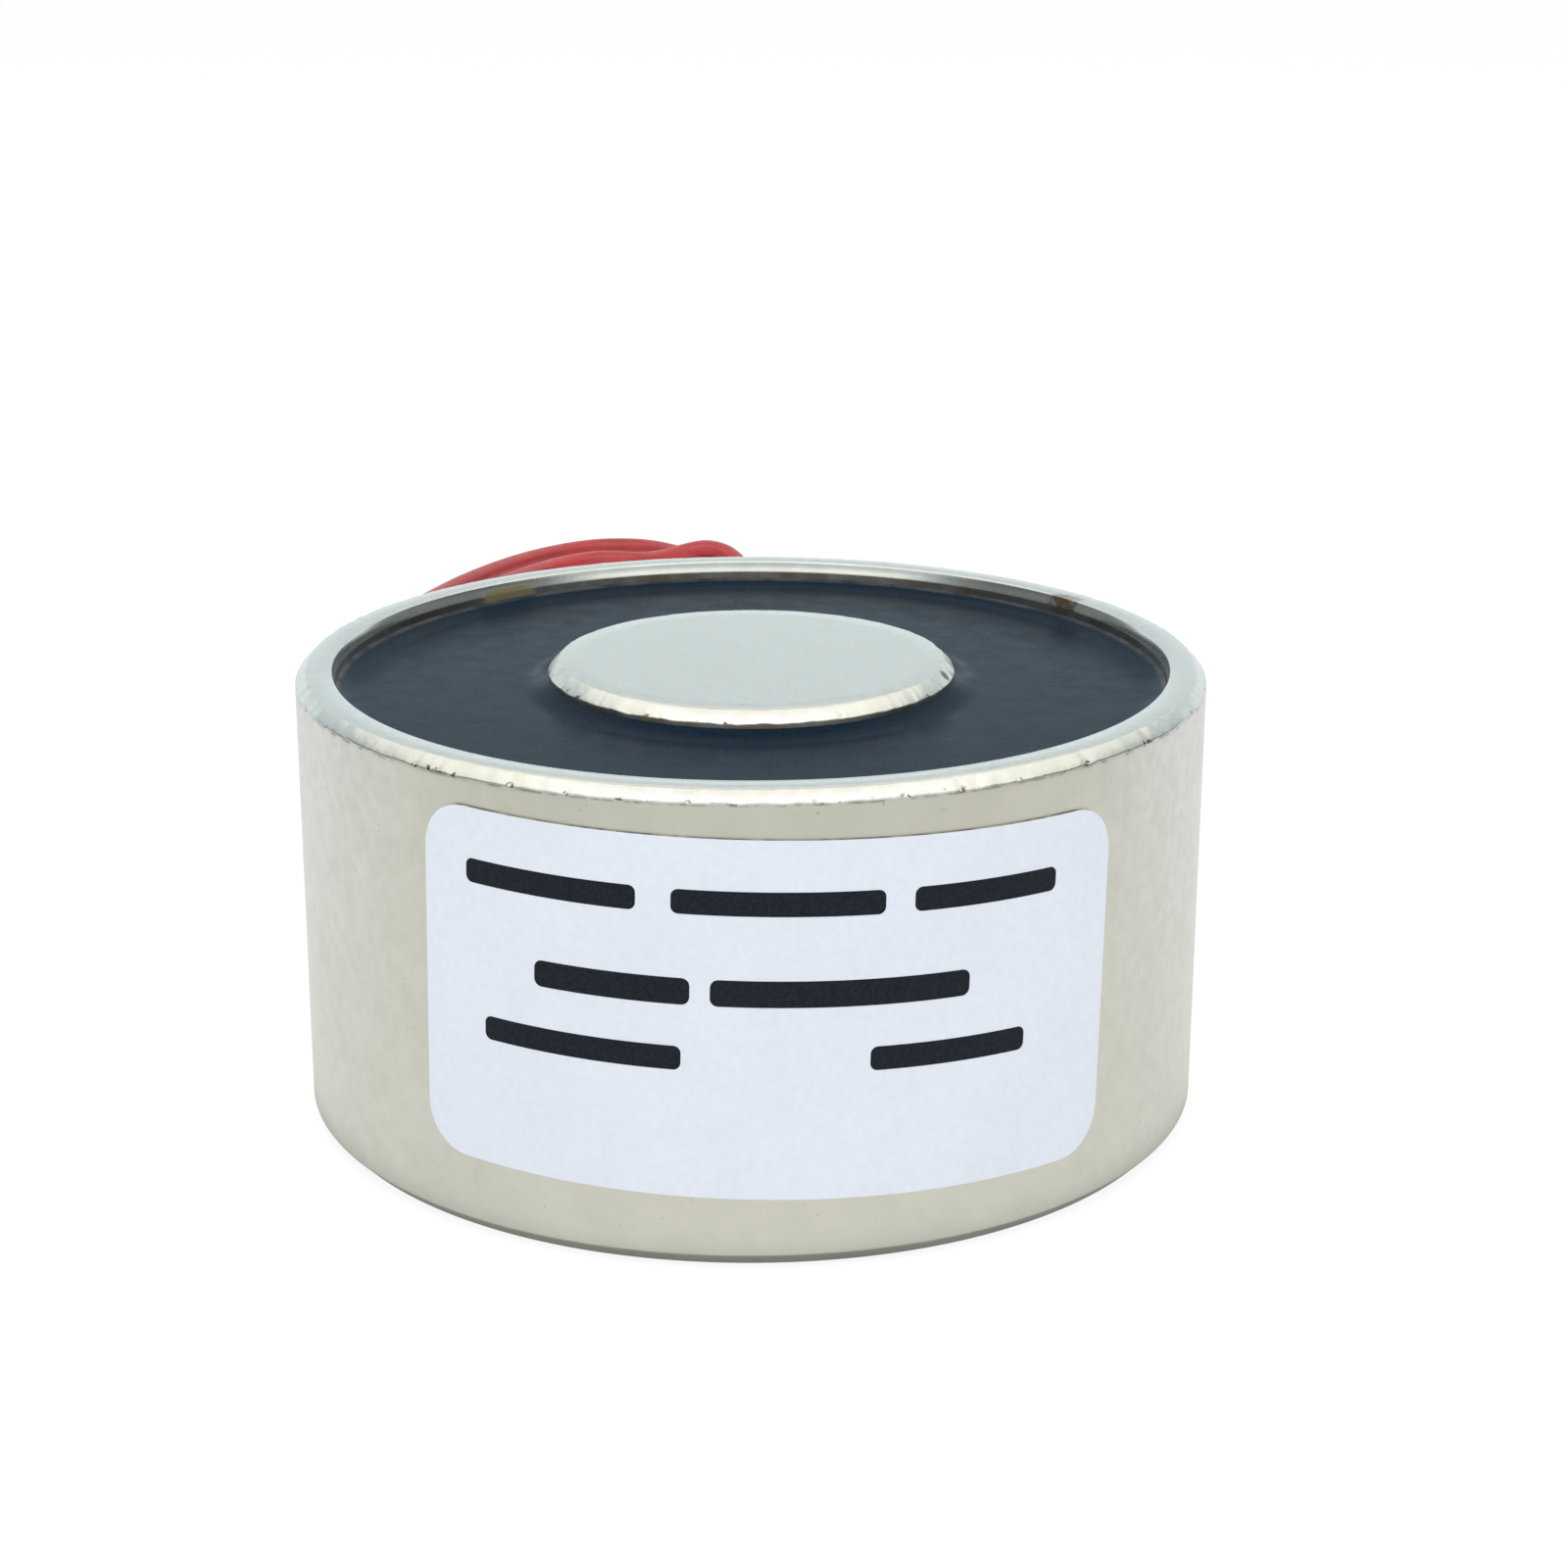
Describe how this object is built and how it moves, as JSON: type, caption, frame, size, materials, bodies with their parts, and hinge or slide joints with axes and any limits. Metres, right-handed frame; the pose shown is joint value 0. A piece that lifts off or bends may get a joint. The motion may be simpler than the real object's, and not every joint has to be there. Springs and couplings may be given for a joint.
{
  "type": "holding electromagnet",
  "caption": "Round holding electromagnet: turned iron cup with a centre pole, potted coil, wrap-round label, tapped hole in its back and thin flying leads.",
  "frame": {"origin": "centre of the mounting face, on the axis of the tapped hole", "axes": "+Z along the axis towards the holding face; the label is on the -Y side and the leads leave on the +Y side"},
  "size_m": [0.0477, 0.1267, 0.02],
  "materials": {
    "plated_iron": "satin nickel plate",
    "former_plastic": "moulded",
    "copper": "enamelled copper wire",
    "tape": "polyester tape",
    "solder": "soldered",
    "sleeve_plastic": "shrunk on",
    "resin": "satin cast epoxy",
    "lead_cover": "soft vinyl",
    "tinned_copper": "tinned strands",
    "label_paper": "coated paper"
  },
  "bodies": {
    "root": {"yoke": "plated_iron", "coil_former": "former_plastic", "winding": "copper", "winding_tape": "tape", "start_tail": "copper", "finish_tail": "copper", "splice_joint_1": "solder", "splice_joint_2": "solder", "splice_sleeve_1": "sleeve_plastic", "splice_sleeve_2": "sleeve_plastic", "potting": "resin", "lead_1": "lead_cover", "lead_2": "lead_cover", "lead_tip_1": "tinned_copper", "lead_tip_2": "tinned_copper", "label": "label_paper"}
  },
  "joints": []
}
